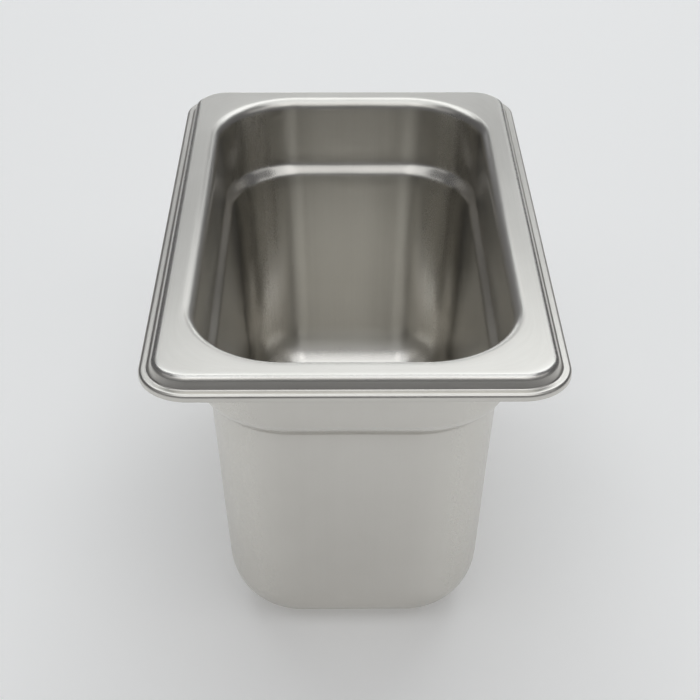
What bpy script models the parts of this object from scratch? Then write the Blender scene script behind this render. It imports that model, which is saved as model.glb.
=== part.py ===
"""Ninth-size food pan, pressed from one blank of stainless steel sheet.

The pan is one closed shell of even thickness. Its section runs from the turned-down
edge of the rim, over the stepped flange and round the mouth, down the collar to the
stacking shoulder, and on down the drawn body to the flat base. Every point of the
section sweeps a rounded rectangle round the pan, and the rectangles are joined in order.

Run with: blender --background --python part.py
"""

from dataclasses import dataclass
from math import cos, hypot, pi, radians, sin, tan

import bmesh
import bpy

# ---- Driving dimensions, in metres ----------------------------------------------------

PAN_WIDTH = 0.108            # over the rim, along X
PAN_LENGTH = 0.176           # over the rim, along Y
PAN_HEIGHT = 0.100           # from the base to the top of the flange
SHEET = 0.0007               # thickness of the steel

RIM_CORNER = 0.0132          # corner radius of the rim's outer edge
EDGE_DROP = 0.0018           # how far the turned-down edge hangs below the lip
EDGE_RADIUS = 0.0013         # outer radius of the turned-down edge
LIP_WIDTH = 0.0025           # from the outer edge to the foot of the step
STEP_HEIGHT = 0.0033         # from the lip up to the flange
STEP_CROWN = 0.0020          # radius where the flange rolls over into the step
STEP_FILLET = 0.0006         # radius at the foot of the step
STEP_SLOPE = radians(80)     # the step's face, measured from the flat

MOUTH_WIDTH = 0.0829         # clear width between the collar's walls
MOUTH_LENGTH = 0.1519        # clear length between the collar's end walls
MOUTH_CORNER = 0.0240        # corner radius of the collar
MOUTH_RADIUS = 0.0035        # radius where the flange rolls over into the collar

COLLAR_DRAFT = radians(1.2)  # slope of the collar's walls from the vertical
SHOULDER_TOP = 0.0219        # depth of the shoulder's upper edge below the flange
SHOULDER_FOOT = 0.0262       # depth of its lower edge
SHOULDER_INSET = 0.0030      # how far the shoulder steps in
BODY_DRAFT = radians(3.15)   # slope of the body's walls from the vertical
BASE_RADIUS = 0.0167         # inner radius between the walls and the floor
CORNER_SHARPENING = 0.6      # loss of corner radius per unit that the walls draw in

# ---- How finely the curves are cut ----------------------------------------------------

CORNER_STEPS = 10            # flats round each vertical corner
EDGE_STEPS = 3
CROWN_STEPS = 4
FILLET_STEPS = 2
MOUTH_STEPS = 6
SHOULDER_STEPS = 6
BASE_STEPS = 8

# ---- Looks ----------------------------------------------------------------------------

STEEL_COLOUR = (0.62, 0.61, 0.58, 1.0)
STEEL_ROUGHNESS = 0.34
SMOOTH_ANGLE = radians(40)


@dataclass
class Station:
    """One point of the section on the sheet's upper face.

    inset and height place the point: inset is measured inwards from the outline that the
    point belongs to, and height from the top of the flange. under_in and under_up make up
    the unit direction through the sheet, towards its lower face.
    """

    outline: str
    inset: float
    height: float
    under_in: float
    under_up: float


def arc(outline, centre_in, centre_up, radius, start, end, steps, hollow=False):
    """Stations along an arc, whose angles run from straight out (0) to straight up (90).

    A hollow arc has its centre above the sheet, so the way through the sheet leads away
    from the centre. Otherwise it leads towards it.
    """
    stations = []
    for index in range(steps + 1):
        angle = start + (end - start) * index / steps
        out, up = cos(angle), sin(angle)
        sense = 1.0 if hollow else -1.0
        stations.append(Station(
            outline,
            centre_in - radius * out,
            centre_up + radius * up,
            -out * sense,
            up * sense,
        ))
    return stations


def rim_section():
    """The turned-down edge, the lip, the step and the outer edge of the flange."""
    lip = -STEP_HEIGHT
    foot = LIP_WIDTH
    crown_end = pi / 2 - STEP_SLOPE
    fillet_start = pi + crown_end
    edge_end = Station("rim", 0.0, lip - EDGE_DROP, 1.0, 0.0)
    edge = arc("rim", EDGE_RADIUS, lip - EDGE_RADIUS, EDGE_RADIUS, 0.0, pi / 2, EDGE_STEPS)
    fillet = arc(
        "rim", foot - STEP_FILLET, lip + STEP_FILLET, STEP_FILLET,
        3 * pi / 2, fillet_start, FILLET_STEPS, hollow=True,
    )
    # The step's face leans inwards from the fillet's end to the crown's start.
    fillet_end = fillet[-1]
    rise = -STEP_CROWN + STEP_CROWN * sin(crown_end) - fillet_end.height
    crown_in = fillet_end.inset + rise / tan(STEP_SLOPE) + STEP_CROWN * cos(crown_end)
    crown = arc("rim", crown_in, -STEP_CROWN, STEP_CROWN, crown_end, pi / 2, CROWN_STEPS)
    return [edge_end] + edge + fillet + crown


def mouth_section():
    """The roll from the flange into the collar, and the collar down to the shoulder."""
    centre_up = -MOUTH_RADIUS
    end = pi - COLLAR_DRAFT
    roll = arc("mouth", -MOUTH_RADIUS, centre_up, MOUTH_RADIUS, pi / 2, end, MOUTH_STEPS)
    foot = roll[-1]
    drop = SHOULDER_TOP + foot.height
    inset = foot.inset + drop * tan(COLLAR_DRAFT)
    return roll + [Station("mouth", inset, -SHOULDER_TOP, foot.under_in, foot.under_up)]


def shoulder_section(top):
    """A smooth step in the wall, from the collar's draft to the body's.

    The inset follows a half wave of cosine between the shoulder's two edges.
    """
    depth = SHOULDER_FOOT - SHOULDER_TOP
    stations = []
    for index in range(1, SHOULDER_STEPS + 1):
        share = index / SHOULDER_STEPS
        inset = top.inset + SHOULDER_INSET * (1.0 - cos(pi * share)) / 2.0
        slope = SHOULDER_INSET * pi * sin(pi * share) / (2.0 * depth) + tan(BODY_DRAFT) * share
        length = hypot(1.0, slope)
        height = -SHOULDER_TOP - depth * share
        stations.append(Station("mouth", inset, height, -1.0 / length, -slope / length))
    return stations


def base_section(top):
    """The body's wall below the shoulder, and the radius that turns it into the floor."""
    floor = -PAN_HEIGHT + SHEET
    centre_up = floor + BASE_RADIUS
    start_up = centre_up - BASE_RADIUS * sin(BODY_DRAFT)
    start_in = top.inset + (top.height - start_up) * tan(BODY_DRAFT)
    centre_in = start_in + BASE_RADIUS * cos(BODY_DRAFT)
    return arc(
        "base", centre_in, centre_up, BASE_RADIUS,
        -BODY_DRAFT, -pi / 2, BASE_STEPS, hollow=True,
    )


def section():
    """The whole section on the sheet's upper face, from the cut edge to the floor."""
    mouth = mouth_section()
    shoulder = shoulder_section(mouth[-1])
    return rim_section() + mouth + shoulder + base_section(shoulder[-1])


def outline_size(outline, inset, base_inset):
    """Half width, half length and corner radius of an outline drawn in by inset.

    The walls lose corner radius more slowly than they draw in, so the body keeps full
    corners. Round the mouth's roll and the base's radius the corners stay concentric.
    """
    if outline == "rim":
        return PAN_WIDTH / 2 - inset, PAN_LENGTH / 2 - inset, RIM_CORNER - inset
    wall_inset = min(max(inset, 0.0), base_inset)
    beyond = inset - wall_inset
    corner = MOUTH_CORNER - CORNER_SHARPENING * wall_inset - beyond
    return MOUTH_WIDTH / 2 - inset, MOUTH_LENGTH / 2 - inset, corner


def rounded_rectangle(half_width, half_length, corner, height):
    """Points of a level rounded rectangle, anticlockwise from above."""
    points = []
    for quarter, (side_x, side_y) in enumerate(((1, 1), (-1, 1), (-1, -1), (1, -1))):
        centre_x = side_x * (half_width - corner)
        centre_y = side_y * (half_length - corner)
        for step in range(CORNER_STEPS + 1):
            angle = (quarter + step / CORNER_STEPS) * pi / 2
            points.append((centre_x + corner * cos(angle), centre_y + corner * sin(angle), height))
    return points


def shell_rings(stations):
    """Rings of points down the upper face of the sheet and back along its lower face."""
    base_inset = next(place.inset for place in stations if place.outline == "base")
    upper = []
    lower = []
    for place in stations:
        size = outline_size(place.outline, place.inset, base_inset)
        upper.append(rounded_rectangle(*size, PAN_HEIGHT + place.height))
        grow = -SHEET * place.under_in
        height = PAN_HEIGHT + place.height + SHEET * place.under_up
        lower.append(rounded_rectangle(size[0] + grow, size[1] + grow, size[2] + grow, height))
    return upper + lower[::-1]


def pan_mesh():
    """One closed mesh: rings bridged in order, with the floor and the base filled in."""
    stations = section()
    rings = shell_rings(stations)
    mesh = bpy.data.meshes.new("pan")
    shell = bmesh.new()
    loops = [[shell.verts.new(point) for point in ring] for ring in rings]
    floor = len(stations) - 1
    for index, loop in enumerate(loops):
        if index == floor:
            continue
        following = loops[(index + 1) % len(loops)]
        for here in range(len(loop)):
            there = (here + 1) % len(loop)
            shell.faces.new((loop[here], loop[there], following[there], following[here]))
    shell.faces.new(loops[floor])
    shell.faces.new(loops[floor + 1])
    bmesh.ops.recalc_face_normals(shell, faces=shell.faces)
    shell.to_mesh(mesh)
    shell.free()
    return mesh


def steel():
    """Satin stainless steel."""
    material = bpy.data.materials.new("satin_steel")
    material.use_nodes = True
    shader = material.node_tree.nodes["Principled BSDF"]
    shader.inputs["Base Color"].default_value = STEEL_COLOUR
    shader.inputs["Metallic"].default_value = 1.0
    shader.inputs["Roughness"].default_value = STEEL_ROUGHNESS
    return material


def build_pan():
    """Make the pan's object, shaded smooth except at the sheet's cut edge."""
    mesh = pan_mesh()
    mesh.materials.append(steel())
    mesh.shade_smooth()
    mesh.set_sharp_from_angle(angle=SMOOTH_ANGLE)
    pan = bpy.data.objects.new("pan", mesh)
    bpy.context.scene.collection.objects.link(pan)
    return pan


for leftover in list(bpy.data.objects):
    bpy.data.objects.remove(leftover)
build_pan()
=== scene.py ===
"""Looks of the ninth-size food pan: its satin steel shell, the studio and the camera.

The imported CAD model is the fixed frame. One fine shell of the same sheet takes the place of its
pan: the same section, swept round the same rounded rectangles, with the arcs cut finely, the
sheet's edge dressed, and the slow waves that pressing leaves in thin walls. The steel's marks
follow the sheet: the shell carries, at every point, how far round the pan and how far down the
section it lies, and the finish draws its streaks, grain and wear from that.
"""

import logging
import math
from dataclasses import dataclass, field
from enum import Enum
from typing import Any

import bpy
import numpy as np
from mathutils import Matrix, Vector


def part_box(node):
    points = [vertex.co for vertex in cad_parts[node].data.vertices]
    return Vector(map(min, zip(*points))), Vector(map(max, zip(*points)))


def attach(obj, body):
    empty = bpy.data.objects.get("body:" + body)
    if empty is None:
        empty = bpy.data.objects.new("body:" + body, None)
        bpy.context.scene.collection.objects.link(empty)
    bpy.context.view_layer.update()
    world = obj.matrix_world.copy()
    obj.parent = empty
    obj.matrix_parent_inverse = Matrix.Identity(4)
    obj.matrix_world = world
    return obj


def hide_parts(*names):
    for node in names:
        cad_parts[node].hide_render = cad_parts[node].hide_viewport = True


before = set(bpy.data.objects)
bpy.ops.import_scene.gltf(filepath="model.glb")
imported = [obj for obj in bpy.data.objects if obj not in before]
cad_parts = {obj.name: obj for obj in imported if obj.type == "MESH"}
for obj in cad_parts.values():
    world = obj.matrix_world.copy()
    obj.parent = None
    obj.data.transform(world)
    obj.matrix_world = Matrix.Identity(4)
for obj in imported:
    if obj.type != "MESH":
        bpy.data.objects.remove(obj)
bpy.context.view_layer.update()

log = logging.getLogger("food_pan")

CAD_NODE = "pan"
BODY = "root"
MICRON = 0.000001
COOL = (0.95, 0.98, 1.0)


class Mark(Enum):
    """Names of the attributes that the shell carries for its finish."""

    DRAWN = "drawn"      # place round the pan and down the section, in metres
    INSIDE = "inside"    # 1 on the sheet's upper face, which holds the food
    WALL = "wall"        # 1 on the drawn walls, 0 on the rim and the floor
    CORNER = "corner"    # 1 at the middle of the drawn corners
    RUB = "rub"          # where other pans, wells and worktops rub the steel


# ---- The sheet's section and the rings swept from it ------------------------------------------


@dataclass(frozen=True)
class Rings:
    """Level rounded rectangles, one for each station down the sheet's upper face.

    Attributes:
        half_width: Half the size along X, in metres.
        half_length: Half the size along Y.
        corner: Corner radius.
        height: Height above the base.
        under_in: Inward share of the unit direction through the sheet to its lower face.
        under_up: Upward share of the same direction.
    """

    half_width: np.ndarray
    half_length: np.ndarray
    corner: np.ndarray
    height: np.ndarray
    under_in: np.ndarray
    under_up: np.ndarray

    def columns(self) -> tuple[np.ndarray, ...]:
        """The six arrays in order."""
        return (
            self.half_width, self.half_length, self.corner,
            self.height, self.under_in, self.under_up,
        )

    def then(self, other: "Rings") -> "Rings":
        """These rings followed by another run of them."""
        pairs = zip(self.columns(), other.columns())
        return Rings(*(np.concatenate(pair) for pair in pairs))

    def bridge(self, other: "Rings", steps: int) -> "Rings":
        """Rings at even shares of the way from the last of these to the first of others.

        Args:
            other: The run that the bridge leads to.
            steps: How many gaps it is cut into. Its two ends aren't repeated.

        Returns:
            The rings in between, each size going straight from one end's to the other's.
        """
        share = np.linspace(0.0, 1.0, steps + 1)[1:-1]
        pairs = zip(self.columns(), other.columns())
        return Rings(*(near[-1] + (far[0] - near[-1]) * share for near, far in pairs))

    def below(self, sheet: float) -> "Rings":
        """The same stations on the lower face, one thickness of sheet away along the normal."""
        grow = -sheet * self.under_in
        return Rings(
            self.half_width + grow, self.half_length + grow, self.corner + grow,
            self.height + sheet * self.under_up, self.under_in, self.under_up,
        )

    def distance(self) -> np.ndarray:
        """Distance down the section from the first ring, along the middle of a side."""
        steps = np.hypot(np.diff(self.half_width), np.diff(self.height))
        return np.concatenate(([0.0], np.cumsum(steps)))


@dataclass(frozen=True)
class Line:
    """Stations of the section, as places inside one outline and below the flange.

    Attributes:
        inset: Distance inwards from the outline.
        rise: Height from the top of the flange, negative downwards.
        under_in: Inward share of the direction through the sheet.
        under_up: Upward share of the same direction.
    """

    inset: np.ndarray
    rise: np.ndarray
    under_in: np.ndarray
    under_up: np.ndarray

    def then(self, other: "Line") -> "Line":
        """This line and then another."""
        return Line(
            np.concatenate((self.inset, other.inset)),
            np.concatenate((self.rise, other.rise)),
            np.concatenate((self.under_in, other.under_in)),
            np.concatenate((self.under_up, other.under_up)),
        )


def arc(
    centre_in: float, centre_up: float, radius: float,
    start: float, end: float, steps: int, hollow: bool = False,
) -> Line:
    """Stations along an arc: centre plus radius times (out, up) at evenly spaced angles.

    Args:
        centre_in: The centre's inset.
        centre_up: The centre's height from the flange.
        radius: The arc's radius on the sheet's upper face.
        start: First angle, from straight out (0) to straight up (a quarter turn).
        end: Last angle.
        steps: How many gaps the arc is cut into.
        hollow: True where the centre is above the sheet.

    Returns:
        The stations, with the sheet's lower face away from the centre on a hollow arc and
        towards it otherwise.
    """
    angle = np.linspace(start, end, steps + 1)
    out, up = np.cos(angle), np.sin(angle)
    sense = 1.0 if hollow else -1.0
    return Line(centre_in - radius * out, centre_up + radius * up, -out * sense, up * sense)


def straight(start: Line, end: Line, steps: int) -> Line:
    """Stations at even shares of the way between two lines.

    Args:
        start: The line whose last station the way leaves from.
        end: The line whose first station it leads to.
        steps: How many gaps it is cut into.

    Returns:
        The stations in between, without those two.
    """
    share = np.linspace(0.0, 1.0, steps + 1)[1:-1]

    def between(near: np.ndarray, far: np.ndarray) -> np.ndarray:
        """One number's way from the near line's end to the far line's start."""
        return near[-1] + (far[0] - near[-1]) * share

    return Line(
        between(start.inset, end.inset), between(start.rise, end.rise),
        between(start.under_in, end.under_in), between(start.under_up, end.under_up),
    )


@dataclass(frozen=True)
class Rim:
    """The turned-down edge, the lip and the step up to the flange.

    Its outline is the rim's own rounded rectangle, and every station keeps concentric corners.
    """

    width: float
    length: float
    corner: float = 0.0132
    edge_drop: float = 0.0018
    edge_radius: float = 0.0009
    lip_width: float = 0.0025
    step_height: float = 0.0033
    step_crown: float = 0.0020
    step_fillet: float = 0.0006
    step_slope: float = math.radians(71)
    hang_steps: int = 2
    edge_steps: int = 8
    lip_steps: int = 3
    fillet_steps: int = 6
    crown_steps: int = 12

    def line(self) -> Line:
        """The section from the cut edge up to the flange's outer edge.

        A quarter arc turns the edge over, the lip runs level to a hollow fillet, and the
        step's face leans inwards from the fillet to the crown, an arc that ends level.
        """
        lip = -self.step_height
        quarter = math.pi / 2
        lean = quarter - self.step_slope
        edge = arc(
            self.edge_radius, lip - self.edge_radius, self.edge_radius,
            0.0, quarter, self.edge_steps,
        )
        fillet = arc(
            self.lip_width - self.step_fillet, lip + self.step_fillet, self.step_fillet,
            3 * quarter, math.pi + lean, self.fillet_steps, hollow=True,
        )
        face = -self.step_crown + self.step_crown * math.sin(lean) - fillet.rise[-1]
        crown_in = (
            fillet.inset[-1] + face / math.tan(self.step_slope)
            + self.step_crown * math.cos(lean)
        )
        crown = arc(crown_in, -self.step_crown, self.step_crown, lean, quarter, self.crown_steps)
        # The short upright wall below the arc, at the outline itself.
        drops = np.linspace(self.edge_drop, self.edge_radius, self.hang_steps + 1)[:-1]
        hanging = Line(0.0 * drops, lip - drops, np.ones_like(drops), 0.0 * drops)
        level = straight(edge, fillet, self.lip_steps)
        return hanging.then(edge).then(level).then(fillet).then(crown)

    def rings(self, flange_top: float) -> Rings:
        """The line swept round the rim's outline."""
        line = self.line()
        return Rings(
            self.width / 2 - line.inset, self.length / 2 - line.inset, self.corner - line.inset,
            flange_top + line.rise, line.under_in, line.under_up,
        )


@dataclass(frozen=True)
class Well:
    """The drawn well: mouth roll, collar, stacking shoulder, body walls and base radius.

    Its outline is the mouth's rounded rectangle. The walls lose corner radius more slowly than
    they draw in, and round the roll and the base radius the corners stay concentric. The
    shoulder's step is pressed softer than a full one, by a share of a longer step.
    """

    height: float
    sheet: float
    width: float = 0.0829
    length: float = 0.1519
    corner: float = 0.0240
    roll_radius: float = 0.0035
    collar_draft: float = math.radians(1.2)
    shoulder_top: float = 0.0219
    shoulder_foot: float = 0.0262
    shoulder_inset: float = 0.0030
    body_draft: float = math.radians(3.15)
    base_radius: float = 0.0167
    corner_sharpening: float = 0.6
    run_out: float = 0.0030
    softness: float = 0.30
    roll_steps: int = 14
    collar_steps: int = 12
    shoulder_steps: int = 14
    body_steps: int = 30
    base_steps: int = 18

    def mouth(self) -> Line:
        """The roll, an arc from level to the collar's draft, and the collar's foot."""
        roll = arc(
            -self.roll_radius, -self.roll_radius, self.roll_radius,
            math.pi / 2, math.pi - self.collar_draft, self.roll_steps,
        )
        drop = self.shoulder_top + roll.rise[-1]
        foot = Line(
            roll.inset[-1:] + drop * math.tan(self.collar_draft),
            np.array([-self.shoulder_top]), roll.under_in[-1:], roll.under_up[-1:],
        )
        return roll.then(straight(roll, foot, self.collar_steps)).then(foot)

    def shoulder(self, top: Line) -> Line:
        """The step in the wall: its inset follows a half wave of cosine down its depth.

        Args:
            top: The line above it, whose last station is the collar's foot.

        Returns:
            The stations below the collar's foot, whose slope goes over to the body's draft.
        """
        depth = self.shoulder_foot - self.shoulder_top
        share = np.linspace(0.0, 1.0, self.shoulder_steps + 1)[1:]
        inset = top.inset[-1] + self.shoulder_inset * (1.0 - np.cos(np.pi * share)) / 2.0
        slope = self.shoulder_inset * np.pi * np.sin(np.pi * share) / (2.0 * depth)
        slope = slope + math.tan(self.body_draft) * share
        size = np.hypot(1.0, slope)
        return Line(inset, -self.shoulder_top - depth * share, -1.0 / size, -slope / size)

    def base(self, top: Line) -> Line:
        """The body's wall, straight at its draft, and the hollow arc that makes the floor.

        Args:
            top: The line above it, which ends at the shoulder's foot.

        Returns:
            The stations down to the floor's edge, where the sheet is level.
        """
        centre_up = self.sheet - self.height + self.base_radius
        start_up = centre_up - self.base_radius * math.sin(self.body_draft)
        start_in = top.inset[-1] + (top.rise[-1] - start_up) * math.tan(self.body_draft)
        turn = arc(
            start_in + self.base_radius * math.cos(self.body_draft), centre_up,
            self.base_radius, -self.body_draft, -math.pi / 2, self.base_steps, hollow=True,
        )
        return straight(top, turn, self.body_steps).then(turn)

    def slack(self, height: np.ndarray, flange_top: float) -> np.ndarray:
        """How far the pressed shoulder lies off its full step.

        It is a share of the difference between two half waves of cosine: the shoulder's own,
        and one that starts higher up and ends lower down.

        Args:
            height: Height of each station.
            flange_top: Height of the flange.

        Returns:
            The push outwards that softens the step.
        """
        depth = flange_top - height

        def half_wave(start: float, end: float) -> np.ndarray:
            """0 above the start, 1 below the end, and half a cosine's wave between."""
            share = np.clip((depth - start) / (end - start), 0.0, 1.0)
            return (1.0 - np.cos(np.pi * share)) / 2.0

        full = half_wave(self.shoulder_top, self.shoulder_foot)
        soft = half_wave(self.shoulder_top - self.run_out, self.shoulder_foot + self.run_out)
        return self.softness * self.shoulder_inset * (full - soft)

    def rings(self, flange_top: float) -> Rings:
        """The line swept round the mouth's outline, with the body's fuller corners.

        Args:
            flange_top: Height of the flange.

        Returns:
            The rings from the flange's inner edge down to the floor's edge. The corner loses a
            share of the walls' inset, and all of the inset beyond the walls.
        """
        mouth = self.mouth()
        shoulder = self.shoulder(mouth)
        base = self.base(shoulder)
        line = mouth.then(shoulder).then(base)
        wall_end = base.inset[self.body_steps - 1]
        wall = np.clip(line.inset, 0.0, wall_end)
        corner = self.corner - self.corner_sharpening * wall - (line.inset - wall)
        return Rings(
            self.width / 2 - line.inset, self.length / 2 - line.inset, corner,
            flange_top + line.rise, line.under_in, line.under_up,
        )


@dataclass(frozen=True)
class Plan:
    """How points are laid round every ring, from the middle of the first corner.

    A ring's point is centre times (half size less corner) plus corner times the direction of
    its turn. On a corner's arc the centre is fixed and the turn goes on; on a straight side the
    turn is fixed and the centre goes from one corner's to the next's.
    """

    arc_steps: int = 14
    short_steps: int = 30
    long_steps: int = 60

    def side(self, index: int) -> tuple[np.ndarray, np.ndarray, np.ndarray]:
        """Centres along X and Y and turns, from the middle of one corner to the next's.

        Args:
            index: 0 for the far end, 1 for the left side, 2 for the near end, 3 for the right.

        Returns:
            Three arrays for the points of the side, without the last, which starts the next.
        """
        signs = np.array([(1, 1), (-1, 1), (-1, -1), (1, -1), (1, 1)], float)
        here, there = signs[index], signs[index + 1]
        turn = (index + 1) * np.pi / 2
        straight_steps = self.long_steps if index % 2 else self.short_steps
        arc_share = np.arange(self.arc_steps) / self.arc_steps
        side_share = np.arange(straight_steps) / straight_steps
        centres = np.concatenate((
            np.repeat(here[None], self.arc_steps, 0),
            here + (there - here) * side_share[:, None],
            np.repeat(there[None], self.arc_steps, 0),
        ))
        turns = np.concatenate((
            turn - np.pi / 4 * (1.0 - arc_share),
            np.full(straight_steps, turn),
            turn + np.pi / 4 * arc_share,
        ))
        return centres[:, 0], centres[:, 1], turns

    def round(self) -> tuple[np.ndarray, np.ndarray, np.ndarray]:
        """The four sides' arrays joined into one turn round the pan."""
        sides = [self.side(index) for index in range(4)]
        return tuple(np.concatenate(columns) for columns in zip(*sides))

    def counts(self) -> tuple[int, int]:
        """Gaps along an end and along a side, corner middle to corner middle."""
        return 2 * self.arc_steps + self.short_steps, 2 * self.arc_steps + self.long_steps

    def place(self, rings: Rings) -> np.ndarray:
        """Points of the rings, by the rule above.

        Args:
            rings: The rounded rectangles.

        Returns:
            An array of rings by points by XYZ.
        """
        across, along, turn = self.round()
        corner = rings.corner[:, None]
        x = across * (rings.half_width[:, None] - corner) + corner * np.cos(turn)
        y = along * (rings.half_length[:, None] - corner) + corner * np.sin(turn)
        return np.stack((x, y, np.broadcast_to(rings.height[:, None], x.shape)), axis=-1)


@dataclass(frozen=True)
class Waves:
    """Slow waves that pressing and springing back leave in the thin walls.

    The push along the sheet's normal is a sum of a few sines, each of its own length round the
    pan and down the section, faded out towards the mouth roll, the base radius and the corners.
    """

    push: float = 0.00012
    seed: int = 11
    count: int = 6
    longest: float = 0.110
    shortest: float = 0.035
    fewest_turns: int = 3
    most_turns: int = 15

    def field(self, around: np.ndarray, down: np.ndarray) -> np.ndarray:
        """The push at every point.

        Args:
            around: Angle round the pan of each point, a row.
            down: Distance down the section of each ring, a column.

        Returns:
            The push in metres, rings by points.
        """
        draw = np.random.default_rng(self.seed)
        turns = draw.integers(self.fewest_turns, self.most_turns, self.count)[:, None, None]
        phase = draw.uniform(0.0, 2 * np.pi, (self.count, 1, 1))
        length = draw.uniform(self.shortest, self.longest, (self.count, 1, 1))
        waves = np.sin(turns * around + phase + 2 * np.pi * down / length)
        return self.push * waves.mean(axis=0)


@dataclass(frozen=True)
class Rub:
    """A height at which the steel is rubbed bright.

    Attributes:
        height: Where the rubbing is strongest.
        spread: How far it reaches above and below.
        strength: Its greatest share.
    """

    height: float
    spread: float
    strength: float = 1.0

    def share(self, heights: np.ndarray) -> np.ndarray:
        """A bell curve: the strength times e to the minus square of the way off by the spread."""
        return self.strength * np.exp(-(((heights - self.height) / self.spread) ** 2))


@dataclass
class Pan:
    """The whole pan: one sheet, from the cut edge of the rim to the floor.

    Attributes:
        low: Lowest corner of the CAD pan's box.
        high: Its highest corner.
        sheet: Thickness of the steel.
        edge_round: How far the dressed edge stands out below the sheet's cut.
        edge_steps: How many gaps that edge is cut into.
        flange_steps: How many gaps the flange is cut into.
        plan: How points are laid round it.
        waves: The slow waves in its walls.
        rim: Its rim.
        well: Its well.
    """

    low: Vector
    high: Vector
    sheet: float = 0.0007
    edge_round: float = 0.00016
    edge_steps: int = 6
    flange_steps: int = 5
    plan: Plan = field(default_factory=Plan)
    waves: Waves = field(default_factory=Waves)
    rim: Rim = field(init=False)
    well: Well = field(init=False)

    def __post_init__(self) -> None:
        """Works out the rim and the well from the CAD pan's box."""
        size = self.high - self.low
        self.rim = Rim(width=size.x, length=size.y)
        self.well = Well(height=size.z, sheet=self.sheet)

    def rings(self) -> Rings:
        """Every ring of the sheet's upper face, from the rim's edge to the floor's edge."""
        rim = self.rim.rings(self.high.z)
        well = self.well.rings(self.high.z)
        return rim.then(rim.bridge(well, self.flange_steps)).then(well)

    def wall_share(self, rings: Rings) -> np.ndarray:
        """Where the sheet is drawn wall.

        Args:
            rings: The sheet's stations.

        Returns:
            0 on the rim, rising over the mouth roll to 1 on the walls, 0 again on the floor.
        """
        top, base = self.high.z, self.low.z
        roll, radius = self.well.roll_radius, self.well.base_radius
        inner = rings.half_width < self.well.width / 2 + roll + MICRON
        from_rim = ease((top - rings.height) / roll) * inner
        from_floor = ease((rings.height - base - self.sheet) / radius)
        return from_rim * from_floor

    def rub_share(self, rings: Rings, outside: bool) -> np.ndarray:
        """Where the steel is rubbed bright, by the wells, worktops and scrapers it meets.

        Args:
            rings: The sheet's stations.
            outside: True for the lower face.

        Returns:
            A share from 0 to 1 for each station, the sum of the bell curves there.
        """
        top, well = self.high.z, self.well
        foot_of_shoulder = top - well.shoulder_foot
        # On the rim's stations alone, on every station, and below the rim alone.
        if outside:
            on_rim = (Rub(height=top - self.rim.step_height - 0.0012, spread=0.0010),)
            anywhere = (
                Rub(height=top - well.shoulder_top - 0.0006, spread=0.0012),
                Rub(height=self.low.z + 0.0030, spread=0.0035, strength=0.9),
            )
            in_well = ()
        else:
            on_rim = (Rub(height=top - 0.0003, spread=0.0004),)
            anywhere = ()
            in_well = (
                Rub(height=foot_of_shoulder + 0.0008, spread=0.0009, strength=0.3),
                Rub(height=self.low.z + 0.0050, spread=0.0045),
            )
        rim_part = np.arange(len(rings.height)) < len(self.rim.line().inset)
        total = np.zeros_like(rings.height)
        for rubs, part in ((on_rim, rim_part), (anywhere, 1.0), (in_well, ~rim_part)):
            for rub in rubs:
                total = total + rub.share(rings.height) * part
        return np.clip(total, 0.0, 1.0)

    def faces(self, points: np.ndarray, rings: Rings, share: np.ndarray) -> np.ndarray:
        """Points pushed along the sheet's normal by the waves, and level by the soft shoulder.

        Args:
            points: Rings by points by XYZ.
            rings: The upper face's stations.
            share: How much each ring may move.

        Returns:
            The moved points.
        """
        turn = self.plan.round()[2]
        around = np.arange(points.shape[1]) * 2 * np.pi / points.shape[1]
        push = self.waves.field(around, rings.distance()[:, None])
        bend = np.sin(2 * turn) ** 2
        push = push * share[:, None] * (1.0 - bend)
        way = np.stack((
            rings.under_in[:, None] * -np.cos(turn),
            rings.under_in[:, None] * -np.sin(turn),
            np.broadcast_to(rings.under_up[:, None], push.shape),
        ), axis=-1)
        outwards = np.stack((np.cos(turn), np.sin(turn), np.zeros_like(turn)), axis=-1)
        slack = self.well.slack(rings.height, self.high.z)[:, None, None]
        return points + way * push[..., None] + outwards * slack

    def edge(self, upper: np.ndarray, lower: np.ndarray) -> np.ndarray:
        """The dressed edge between the two faces' first rings, a flattened half round.

        Each point goes across by half a cosine and down by a sine of the same angle.
        """
        angle = np.linspace(0.0, np.pi, self.edge_steps + 1)[1:-1, None, None]
        across = (1.0 - np.cos(angle)) / 2.0
        drop = np.array([0.0, 0.0, -self.edge_round]) * np.sin(angle)
        return upper + (lower - upper) * across + drop

    def disc(self, ring: np.ndarray) -> np.ndarray:
        """A level patch inside a ring, filled between its four sides.

        The patch is a Coons surface: the sum of the straight blends between opposite sides,
        less the straight blend of its four corner points.

        Args:
            ring: The ring's points.

        Returns:
            A grid of points, ends by sides, whose border is the ring.
        """
        ends, sides = self.plan.counts()
        far = ring[: ends + 1]
        left = ring[ends: ends + sides + 1]
        near = ring[ends + sides: 2 * ends + sides + 1][::-1]
        right = np.concatenate((ring[2 * ends + sides:], ring[:1]))[::-1]
        s = np.linspace(0.0, 1.0, ends + 1)[:, None, None]
        t = np.linspace(0.0, 1.0, sides + 1)[None, :, None]
        blend = (1 - t) * far[:, None] + t * near[:, None]
        blend = blend + (1 - s) * right[None] + s * left[None]
        corners = (1 - s) * ((1 - t) * far[0] + t * near[0])
        corners = corners + s * ((1 - t) * far[-1] + t * near[-1])
        return blend - corners

    def shell(self) -> "Shell":
        """The closed shell of the sheet with its marks."""
        rings = self.rings()
        wall = self.wall_share(rings)
        upper = self.faces(self.plan.place(rings), rings, wall)
        lower = self.faces(self.plan.place(rings.below(self.sheet)), rings, wall)
        return Shell(self, rings, wall, upper, lower)


def ease(share: np.ndarray) -> np.ndarray:
    """A share held between 0 and 1 and eased at both ends: three squares less two cubes."""
    held = np.clip(share, 0.0, 1.0)
    return held * held * (3.0 - 2.0 * held)


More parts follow.
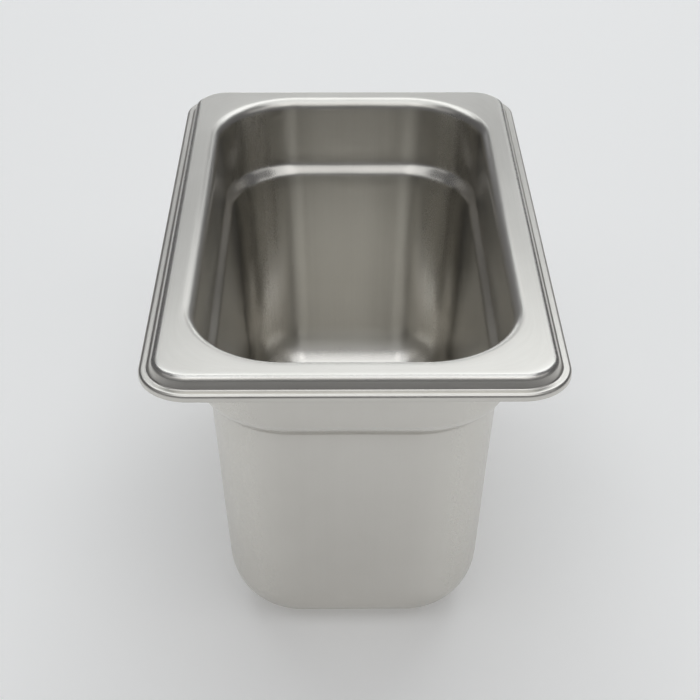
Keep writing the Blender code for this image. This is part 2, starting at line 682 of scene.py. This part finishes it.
@dataclass
class Shell:
    """The pan's surface as grids of points, ready to be made one mesh.

    Attributes:
        pan: The pan whose surface it is.
        rings: The sheet's stations.
        wall: Share of drawn wall at each station.
        upper: The upper face's points, rings by points by XYZ.
        lower: The lower face's.
        skin: All the rings in one grid: lower face, dressed edge, upper face.
        floor: The patch inside the upper face's last ring.
        base: The patch inside the lower face's.
    """

    pan: Pan
    rings: Rings
    wall: np.ndarray
    upper: np.ndarray
    lower: np.ndarray
    skin: np.ndarray = field(init=False)
    floor: np.ndarray = field(init=False)
    base: np.ndarray = field(init=False)

    def __post_init__(self) -> None:
        """Numbers every point: the lower face up to the edge, the upper face down, the floors."""
        edge = self.pan.edge(self.upper[0], self.lower[0])
        self.skin = np.concatenate((self.lower[::-1], edge[::-1], self.upper))
        self.floor = self.pan.disc(self.upper[-1])
        self.base = self.pan.disc(self.lower[-1])

    def band_faces(self) -> np.ndarray:
        """Quads between following rings of the skin, right round the pan."""
        count, around = self.skin.shape[:2]
        number = np.arange(count * around).reshape(count, around)
        beside = np.roll(number, -1, axis=1)
        quads = np.stack((number[:-1], beside[:-1], beside[1:], number[1:]), axis=-1)
        return quads.reshape(-1, 4)

    def disc_numbers(self, first_inner: int, ring_start: int) -> np.ndarray:
        """Point numbers of a patch's grid.

        Args:
            first_inner: Number of the first point inside the patch.
            ring_start: Number of the first point of the ring round it.

        Returns:
            A grid of numbers, the ring's own on the border and new ones inside.
        """
        ends, sides = self.pan.plan.counts()
        around = self.skin.shape[1]
        grid = np.zeros((ends + 1, sides + 1), int)
        walk = ring_start + np.arange(around)
        grid[:, 0] = walk[: ends + 1]
        grid[-1, :] = walk[ends: ends + sides + 1]
        grid[:, -1] = walk[ends + sides: 2 * ends + sides + 1][::-1]
        grid[0, :] = np.concatenate((walk[2 * ends + sides:], walk[:1]))[::-1]
        inner = (ends - 1) * (sides - 1)
        grid[1:-1, 1:-1] = first_inner + np.arange(inner).reshape(ends - 1, sides - 1)
        return grid

    @staticmethod
    def disc_faces(grid: np.ndarray, down: bool) -> np.ndarray:
        """Quads of a patch's grid, facing up or down."""
        quads = np.stack((grid[:-1, :-1], grid[1:, :-1], grid[1:, 1:], grid[:-1, 1:]), axis=-1)
        quads = quads.reshape(-1, 4)
        return quads[:, ::-1] if down else quads

    def marks(self) -> dict[Mark, np.ndarray]:
        """The marks of every point, in the order of the mesh's points."""
        plan, pan = self.pan.plan, self.pan
        around = self.skin.shape[1]
        inner = self.floor[1:-1, 1:-1].reshape(-1, 3).shape[0]
        edge = self.skin.shape[0] - 2 * len(self.rings.height)
        down = self.rings.distance()
        girth = np.linalg.norm(np.diff(self.upper[len(self.upper) // 2], axis=0), axis=1).sum()
        radius = girth / (2 * np.pi)
        angle = np.arange(around) * 2 * np.pi / around
        turn = plan.round()[2]

        def rows(lower: np.ndarray, middle: float, upper: np.ndarray) -> np.ndarray:
            """One number for each ring of the skin: lower face, dressed edge, upper face."""
            return np.concatenate((lower[::-1], np.full(edge, middle), upper))

        depth = rows(down, 0.0, down)
        wall = rows(self.wall, 0.0, self.wall)
        inside = rows(np.zeros_like(down), 0.5, np.ones_like(down))
        rub = rows(pan.rub_share(self.rings, True), 1.0, pan.rub_share(self.rings, False))
        circle = np.stack((np.cos(angle), np.sin(angle)), axis=-1) * radius
        drawn = np.concatenate((
            np.broadcast_to(circle, (len(depth), around, 2)),
            np.broadcast_to(depth[:, None, None], (len(depth), around, 1)),
        ), axis=-1).reshape(-1, 3)
        corner = np.broadcast_to(np.sin(2 * turn) ** 2, (len(depth), around))
        middle = np.tile([0.0, 0.0, down[-1]], (2 * inner, 1))
        halves = np.repeat([1.0, 0.0], inner)
        nothing = np.zeros(2 * inner)

        def whole(column: np.ndarray, tail: np.ndarray) -> np.ndarray:
            """The rings' numbers at every one of their points, and then the patches'."""
            return np.concatenate((np.repeat(column, around), tail))

        return {
            Mark.DRAWN: np.concatenate((drawn, middle)),
            Mark.INSIDE: whole(inside, halves),
            Mark.WALL: whole(wall, nothing),
            Mark.CORNER: np.concatenate(((corner * wall[:, None]).ravel(), nothing)),
            Mark.RUB: whole(rub, nothing),
        }

    def mesh(self, name: str) -> bpy.types.Mesh:
        """Makes the mesh of the skin and its two patches.

        Args:
            name: The mesh's name.

        Returns:
            The closed mesh with its marks, shaded smooth.
        """
        skin = self.skin.reshape(-1, 3)
        floor = self.floor[1:-1, 1:-1].reshape(-1, 3)
        base = self.base[1:-1, 1:-1].reshape(-1, 3)
        points = np.concatenate((skin, floor, base))
        around = self.skin.shape[1]
        floor_grid = self.disc_numbers(len(skin), len(skin) - around)
        base_grid = self.disc_numbers(len(skin) + len(floor), 0)
        quads = np.concatenate((
            self.band_faces(),
            self.disc_faces(floor_grid, down=False),
            self.disc_faces(base_grid, down=True),
        ))
        mesh = bpy.data.meshes.new(name)
        mesh.from_pydata(points.tolist(), [], quads.tolist())
        for mark, values in self.marks().items():
            kind, slot = ("FLOAT_VECTOR", "vector") if mark is Mark.DRAWN else ("FLOAT", "value")
            attribute = mesh.attributes.new(mark.value, kind, "POINT")
            attribute.data.foreach_set(slot, values.astype(np.float32).ravel())
        mesh.shade_smooth()
        return mesh


# ---- Shader maths -----------------------------------------------------------------------------


class Wire:
    """One node socket that can be worked with like a number."""

    def __init__(self, recipe: "Recipe", socket: bpy.types.NodeSocket) -> None:
        """Keeps the socket and the recipe that it belongs to."""
        self.recipe = recipe
        self.socket = socket

    def maths(self, operation: str, other: Any) -> "Wire":
        """A Math node of this wire and another value."""
        return self.recipe.node("ShaderNodeMath", {"operation": operation}, {0: self, 1: other})

    def __add__(self, other: Any) -> "Wire":
        """Sum."""
        return self.maths("ADD", other)

    __radd__ = __add__

    def __mul__(self, other: Any) -> "Wire":
        """Product."""
        return self.maths("MULTIPLY", other)

    __rmul__ = __mul__

    def __sub__(self, other: Any) -> "Wire":
        """Difference."""
        return self.maths("SUBTRACT", other)

    def __rsub__(self, other: Any) -> "Wire":
        """A number less this wire."""
        return self.recipe.node(
            "ShaderNodeMath", {"operation": "SUBTRACT"}, {0: other, 1: self}
        )

    def between(self, low: float, high: float) -> "Wire":
        """0 at low and 1 at high, eased, and held outside them."""
        return self.recipe.node(
            "ShaderNodeMapRange",
            {"interpolation_type": "SMOOTHSTEP", "clamp": True},
            {"Value": self, "From Min": low, "From Max": high, "To Min": 0.0, "To Max": 1.0},
        )


class Recipe:
    """A material being made, with one method that adds any node."""

    def __init__(self, name: str) -> None:
        """Starts an empty material."""
        self.material = bpy.data.materials.new(name)
        self.material.use_nodes = True
        self.tree = self.material.node_tree
        self.tree.nodes.clear()

    def node(
        self, kind: str, settings: dict[str, Any], sockets: dict[Any, Any], output: Any = 0
    ) -> Wire:
        """Adds a node, its settings first and then its sockets.

        Args:
            kind: The node's type.
            settings: Its own settings by name.
            sockets: Values or wires by the socket's name or number.
            output: Name or number of the output that is handed back.

        Returns:
            The wire of that output.
        """
        made = self.tree.nodes.new(kind)
        for name, value in settings.items():
            setattr(made, name, value)
        for name, value in sockets.items():
            if isinstance(value, Wire):
                self.tree.links.new(value.socket, made.inputs[name])
            else:
                made.inputs[name].default_value = value
        return Wire(self, made.outputs[output])

    def mark(self, mark: Mark) -> Wire:
        """One of the shell's marks."""
        output = "Vector" if mark is Mark.DRAWN else "Fac"
        return self.node("ShaderNodeAttribute", {"attribute_name": mark.value}, {}, output)

    def stretched(self, place: Wire, scale: tuple[float, float, float]) -> Wire:
        """A place with each of its axes multiplied."""
        return self.node("ShaderNodeVectorMath", {"operation": "MULTIPLY"}, {0: place, 1: scale})

    def noise(self, place: Wire, scale: float, detail: float, rough: float) -> Wire:
        """Soft noise from 0 to 1 at so many waves to the metre."""
        return self.node(
            "ShaderNodeTexNoise", {"noise_dimensions": "3D"},
            {"Vector": place, "Scale": scale, "Detail": detail, "Roughness": rough},
        )

    def blend(self, share: Wire, none: Any, full: Any) -> Wire:
        """A colour between two, by a share."""
        return self.node(
            "ShaderNodeMix", {"data_type": "RGBA", "blend_type": "MIX"},
            {0: share, 6: none, 7: full}, output=2,
        )

    def bump(self, height: Wire, distance: float) -> Wire:
        """A normal from a height, one unit of which stands for a distance in metres."""
        return self.node(
            "ShaderNodeBump", {}, {"Height": height, "Distance": distance}, output="Normal"
        )

    def finish(self, shader: Wire) -> None:
        """Makes a shader the material's surface."""
        made = self.tree.nodes.new("ShaderNodeOutputMaterial")
        self.tree.links.new(shader.socket, made.inputs["Surface"])


@dataclass(frozen=True)
class Grain:
    """One set of marks in the steel, made from noise whose cells are stretched to its lay.

    Attributes:
        lay: Factors on the three axes of the pattern's place. A small one draws cells out.
        scale: Waves to the metre before the stretch.
        detail: How many finer layers are added.
        tone: How far the marks lighten and darken the metal, as a share.
        gloss: How far they change its roughness.
        depth: How far they push its surface, in metres.
        fineness: How strong each finer layer is beside the last.
    """

    lay: tuple[float, float, float]
    scale: float
    detail: float
    tone: float
    gloss: float
    depth: float = 0.0
    fineness: float = 0.6

    def swing(self, recipe: Recipe, place: Wire) -> Wire:
        """The marks as a number that swings from -1 to 1 around nothing."""
        cells = recipe.stretched(place, self.lay)
        return (recipe.noise(cells, self.scale, self.detail, self.fineness) - 0.5) * 2.0


@dataclass(frozen=True)
class SatinSteel:
    """Stainless steel, drawn into shape and lightly brushed.

    The marks of drawing run down the walls, more strongly inside, and the brush's marks run
    round the rim. A fine even grain and slow clouds lie over both, and the places that are
    rubbed are brighter and smoother.
    """

    dark: tuple[float, float, float, float] = (0.628, 0.610, 0.570, 1.0)
    light: tuple[float, float, float, float] = (0.718, 0.700, 0.660, 1.0)
    rubbed: tuple[float, float, float, float] = (0.735, 0.722, 0.690, 1.0)
    roughness: float = 0.30
    drawn_broad: Grain = Grain(
        lay=(1.0, 1.0, 0.012), scale=160.0, detail=2.0, tone=0.22, gloss=0.014, depth=0.7 * MICRON
    )
    drawn_fine: Grain = Grain(
        lay=(1.0, 1.0, 0.020), scale=1300.0, detail=3.0, tone=0.11, gloss=0.010,
        depth=0.04 * MICRON,
    )
    brushed: Grain = Grain(
        lay=(0.03, 0.03, 1.0), scale=2600.0, detail=3.0, tone=0.25, gloss=0.025,
        depth=0.3 * MICRON,
    )
    even: Grain = Grain(
        lay=(1.0, 1.0, 1.0), scale=3400.0, detail=2.0, tone=0.15, gloss=0.030, depth=0.2 * MICRON
    )
    cloud: Grain = Grain(lay=(1.0, 1.0, 1.0), scale=26.0, detail=3.0, tone=0.35, gloss=0.020)
    outside_share: float = 0.35
    corner_gloss: float = 0.03
    rub_gloss: float = 0.05
    rub_mean: float = 0.7
    rub_patches: float = 0.5
    rub_start: float = 0.25
    rub_full: float = 0.9
    brush_spread: float = 0.6
    brush_turn: float = 0.25
    lay_start: float = 0.0010
    lay_full: float = 0.0060

    def material(self) -> bpy.types.Material:
        """The finish as a material."""
        recipe = Recipe("satin_steel")
        place = recipe.node("ShaderNodeTexCoord", {}, {}, output="Object")
        drawn = recipe.mark(Mark.DRAWN)
        wall = recipe.mark(Mark.WALL)
        corner = recipe.mark(Mark.CORNER)
        rub = recipe.mark(Mark.RUB)
        inside = recipe.mark(Mark.INSIDE)
        rim = 1.0 - wall
        walls = wall * (inside * (1.0 - self.outside_share) + self.outside_share)
        sets = (
            (self.drawn_broad, drawn, walls), (self.drawn_fine, drawn, walls),
            (self.brushed, drawn, rim), (self.even, place, None), (self.cloud, place, None),
        )
        tone, gloss, height = 0.5, self.roughness, 0.0
        for grain, where, mask in sets:
            swing = grain.swing(recipe, where)
            swing = swing * mask if mask is not None else swing
            tone = swing * grain.tone + tone
            gloss = swing * grain.gloss + gloss
            if grain.depth:
                height = swing * grain.depth + height
        patchy = rub * (self.cloud.swing(recipe, place) * self.rub_patches + self.rub_mean)
        worn = patchy.between(self.rub_start, self.rub_full)
        metal = recipe.blend(tone.between(0.0, 1.0), self.dark, self.light)
        metal = recipe.blend(worn, metal, self.rubbed)
        gloss = gloss - corner * self.corner_gloss - worn * self.rub_gloss
        looks = {
            "Base Color": metal, "Metallic": 1.0, "Roughness": gloss,
            "Normal": recipe.bump(height, 1.0),
        }
        lay = {"Anisotropic": self.brush_spread, "Anisotropic Rotation": self.brush_turn}
        plain = recipe.node("ShaderNodeBsdfPrincipled", {}, looks)
        brushed = recipe.node("ShaderNodeBsdfPrincipled", {}, {**looks, **lay})
        # The floor and the base have no lay. It sets in where the walls leave them.
        above = recipe.node("ShaderNodeSeparateXYZ", {}, {0: place}, output="Z")
        share = above.between(self.lay_start, self.lay_full)
        recipe.finish(recipe.node("ShaderNodeMixShader", {}, {0: share, 1: plain, 2: brushed}))
        return recipe.material


# ---- The studio -------------------------------------------------------------------------------


@dataclass(frozen=True)
class Softbox:
    """One oblong area light that faces the pan.

    Attributes:
        name: What it is called.
        bearing: Where it stands round the pan, in degrees from +Y towards +X.
        lift: Its angle above the floor, seen from the pan, in degrees.
        width: Its width in metres.
        height: Its height.
        glow: How bright its face looks.
        colour: Its light's colour.
        distance: How far it stands from the point that it faces.
    """

    name: str
    bearing: float
    lift: float
    width: float
    height: float
    glow: float
    colour: tuple[float, float, float] = (1.0, 1.0, 1.0)
    distance: float = 1.6

    def build(self, centre: Vector) -> None:
        """Makes the light, whose power is pi times its area times its glow.

        Args:
            centre: The point that it faces.
        """
        lamp = bpy.data.lights.new(self.name, "AREA")
        lamp.shape = "RECTANGLE"
        lamp.size, lamp.size_y = self.width, self.height
        lamp.energy = math.pi * self.width * self.height * self.glow
        lamp.color = self.colour
        light = bpy.data.objects.new(self.name, lamp)
        bpy.context.scene.collection.objects.link(light)
        bearing, lift = math.radians(self.bearing), math.radians(self.lift)
        level = math.cos(lift)
        way = Vector((math.sin(bearing) * level, math.cos(bearing) * level, math.sin(lift)))
        light.location = centre + way * self.distance
        light.rotation_euler = (-way).to_track_quat("-Z", "Y").to_euler()


@dataclass(frozen=True)
class Camera:
    """The view from in front of the pan's near end and above it."""

    place: tuple[float, float, float] = (-0.00435, -0.3814, 0.3052)
    yaw: float = 0.010
    pitch: float = 0.587
    roll: float = 0.003
    lens: float = 76.62

    def build(self) -> None:
        """Makes the camera, facing along the yaw and down by the pitch, then rolled."""
        ahead = Vector((
            math.sin(self.yaw) * math.cos(self.pitch),
            math.cos(self.yaw) * math.cos(self.pitch),
            -math.sin(self.pitch),
        ))
        level = Vector((math.cos(self.yaw), -math.sin(self.yaw), 0.0))
        over = level.cross(ahead)
        right = level * math.cos(self.roll) + over * math.sin(self.roll)
        above = over * math.cos(self.roll) - level * math.sin(self.roll)
        data = bpy.data.cameras.new("camera")
        data.lens = self.lens
        camera = bpy.data.objects.new("camera", data)
        bpy.context.scene.collection.objects.link(camera)
        turn = Matrix((right, above, -ahead)).transposed().to_4x4()
        camera.matrix_world = Matrix.Translation(self.place) @ turn
        bpy.context.scene.camera = camera


@dataclass(frozen=True)
class Studio:
    """A pale shooting table, softboxes and an even surround."""

    table_size: float = 12.0
    table_top: float = -0.0001
    table_colour: tuple[float, float, float, float] = (0.87, 0.87, 0.865, 1.0)
    table_glow: float = 0.22
    table_roughness: float = 0.9
    surround: tuple[float, float, float, float] = (0.12, 0.12, 0.125, 1.0)
    centre: tuple[float, float, float] = (0.0, 0.0, 0.06)
    softboxes: tuple[Softbox, ...] = (
        Softbox(
            "backdrop", bearing=0.0, lift=7.0, width=0.85, height=0.38, glow=1.85,
            colour=COOL,
        ),
        Softbox(
            "back_low", bearing=15.0, lift=37.0, width=1.35, height=0.38, glow=1.1,
            colour=COOL,
        ),
        Softbox(
            "back_right", bearing=20.0, lift=24.0, width=0.45, height=0.26, glow=0.8,
            colour=COOL,
        ),
        Softbox(
            "back_high", bearing=0.0, lift=56.0, width=1.90, height=0.70, glow=1.7,
            colour=COOL,
        ),
        Softbox(
            "overhead", bearing=180.0, lift=88.0, width=1.40, height=1.10, glow=1.0,
            colour=COOL,
        ),
        Softbox("high_front", bearing=180.0, lift=68.0, width=0.90, height=0.36, glow=0.8),
        Softbox("front", bearing=180.0, lift=54.0, width=0.80, height=0.40, glow=0.9),
        Softbox("front_left", bearing=216.0, lift=52.0, width=0.80, height=0.50, glow=0.85),
        Softbox("front_right", bearing=144.0, lift=52.0, width=0.80, height=0.50, glow=1.0),
        Softbox("left", bearing=248.0, lift=38.0, width=0.80, height=0.50, glow=0.4),
        Softbox("right", bearing=112.0, lift=38.0, width=0.80, height=0.50, glow=0.5),
    )

    def table(self) -> None:
        """The table: a level square under the pan, matt, pale and faintly aglow."""
        half, top = self.table_size / 2, self.table_top
        mesh = bpy.data.meshes.new("table")
        corners = [(-half, -half, top), (half, -half, top), (half, half, top), (-half, half, top)]
        mesh.from_pydata(corners, [], [(0, 1, 2, 3)])
        table = bpy.data.objects.new("table", mesh)
        bpy.context.scene.collection.objects.link(table)
        recipe = Recipe("pale_table")
        recipe.finish(recipe.node(
            "ShaderNodeBsdfPrincipled", {},
            {
                "Base Color": self.table_colour, "Roughness": self.table_roughness,
                "Emission Color": self.table_colour, "Emission Strength": self.table_glow,
            },
        ))
        mesh.materials.append(recipe.material)

    def build(self) -> None:
        """Makes the table, the surround and the lights."""
        self.table()
        world = bpy.data.worlds.new("surround")
        bpy.context.scene.world = world
        world.use_nodes = True
        world.node_tree.nodes["Background"].inputs["Color"].default_value = self.surround
        for softbox in self.softboxes:
            softbox.build(Vector(self.centre))


def build_pan() -> bpy.types.Object:
    """Builds the pan's shell around the CAD pan and dresses it."""
    low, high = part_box(CAD_NODE)
    mesh = Pan(low, high).shell().mesh("pan_shell")
    mesh.materials.append(SatinSteel().material())
    shell = bpy.data.objects.new("pan_shell", mesh)
    bpy.context.scene.collection.objects.link(shell)
    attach(shell, BODY)
    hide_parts(CAD_NODE)
    return shell


def main() -> None:
    """Builds the pan, the studio and the camera, and reports each piece."""
    logging.basicConfig(level=logging.INFO, format="%(name)s: %(message)s")
    for piece in (build_pan(),):
        log.info("%s: %d faces", piece.name, len(piece.data.polygons))
    Studio().build()
    Camera().build()
    bpy.context.scene.view_settings.view_transform = "Standard"


if __name__ == "__main__":
    main()
